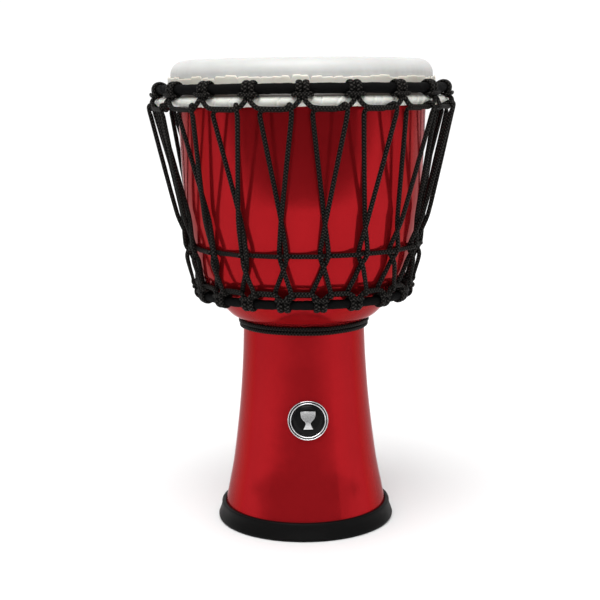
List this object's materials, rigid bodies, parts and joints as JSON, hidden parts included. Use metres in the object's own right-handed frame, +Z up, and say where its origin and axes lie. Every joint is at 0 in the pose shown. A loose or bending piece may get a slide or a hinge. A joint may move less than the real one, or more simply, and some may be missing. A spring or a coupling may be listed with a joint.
{
  "type": "djembe",
  "caption": "Small rope-tuned goblet hand drum with a moulded red shell, film head, cloth-wrapped rings, laced tuning rope, rubber foot ring and round badge.",
  "frame": {"origin": "centre of the foot ring's underside, on the drum's axis, where it stands on the floor", "axes": "+Z up along the drum's axis towards the head; -Y is the front with the badge; +X is to the right of someone facing the badge"},
  "size_m": [0.2074, 0.2077, 0.316],
  "materials": {
    "shell_gloss": "high gloss",
    "head_film": "satin coated film",
    "ring_steel": "plain drawn rod",
    "ring_cloth": "woven tape",
    "rope": "braided polyester",
    "foot_rubber": "satin",
    "badge_metal": "polished",
    "badge_enamel": "enamel",
    "badge_foam": "adhesive foam"
  },
  "bodies": {
    "drum": {"shell": "shell_gloss", "head_film": "head_film", "bottom_ring_core": "ring_steel", "bottom_ring_wrap": "ring_cloth", "lower_cradle_rope": "rope", "tuning_rope": "rope", "weave_row_rope": "rope", "waist_rope": "rope", "foot_ring": "foot_rubber", "badge_pad": "badge_foam", "badge_plate": "badge_metal", "badge_field": "badge_enamel", "badge_groove": "badge_enamel", "badge_emblem": "badge_metal"},
    "tuning_hoop": {"crown_ring_core": "ring_steel", "crown_ring_wrap": "ring_cloth", "flesh_ring": "ring_steel", "upper_cradle_rope": "rope"}
  },
  "joints": [
    {"name": "tuning_travel", "type": "slide", "parent": "drum", "child": "tuning_hoop", "axis": [0, 0, -1], "range_m": [-0.003, 0.002], "deforming": ["head_film", "tuning_rope"]}
  ]
}
